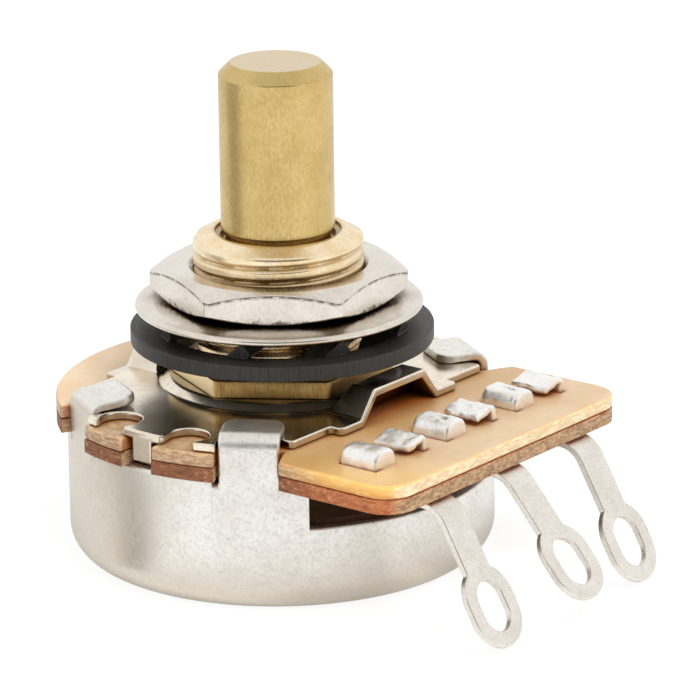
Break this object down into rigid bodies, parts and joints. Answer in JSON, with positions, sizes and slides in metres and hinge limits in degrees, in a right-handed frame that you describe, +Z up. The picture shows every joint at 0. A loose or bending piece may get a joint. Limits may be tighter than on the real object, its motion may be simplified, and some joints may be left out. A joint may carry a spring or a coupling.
{
  "type": "rotary potentiometer",
  "caption": "Panel-mount rotary potentiometer: solid round shaft in a threaded bushing with nut and washers, drawn round case, phenolic terminal board with solder lugs.",
  "frame": {"origin": "centre of the cup's flat underside, on the shaft axis", "axes": "+Z up the shaft towards its free end, -Y towards the solder lugs, +X to the right seen from the lugs"},
  "size_m": [0.0252, 0.0343, 0.028],
  "materials": {
    "shaft_brass": "satin",
    "bushing_brass": "bright",
    "nickel": "bright nickel plate",
    "black_steel": "blackened",
    "plate_steel": "bright plated sheet",
    "tinned_steel": "dull tin plate",
    "tan_phenolic": "waxed laminate",
    "brown_phenolic": "sheared paper laminate",
    "tinned_brass": "dull tin plate",
    "carbon": "matt carbon ink",
    "silver_ink": "matt silver ink",
    "rotor_phenolic": "moulded",
    "spring_bronze": "rolled strip",
    "spring_steel": "bare"
  },
  "bodies": {
    "housing": {"cup": "tinned_steel", "mounting_plate": "plate_steel", "bushing": "bushing_brass", "hex_nut": "nickel", "dress_washer": "nickel", "lock_washer": "black_steel", "insulator_wafer": "tan_phenolic", "element_wafer": "brown_phenolic", "terminal_left": "tinned_brass", "terminal_middle": "tinned_brass", "terminal_right": "tinned_brass", "resistance_track": "carbon", "track_end_left": "silver_ink", "track_end_right": "silver_ink", "collector_ring": "silver_ink"},
    "spindle": {"shaft": "shaft_brass", "rotor": "rotor_phenolic", "brush_spring": "spring_bronze", "stop_plate": "spring_steel", "retaining_ring": "spring_steel", "thrust_washer": "spring_bronze"}
  },
  "joints": [
    {"name": "shaft_turn", "type": "hinge", "parent": "housing", "child": "spindle", "pos_m": [0, 0, 0.012], "axis": [0, 0, 1], "range_deg": [-150, 150]}
  ]
}
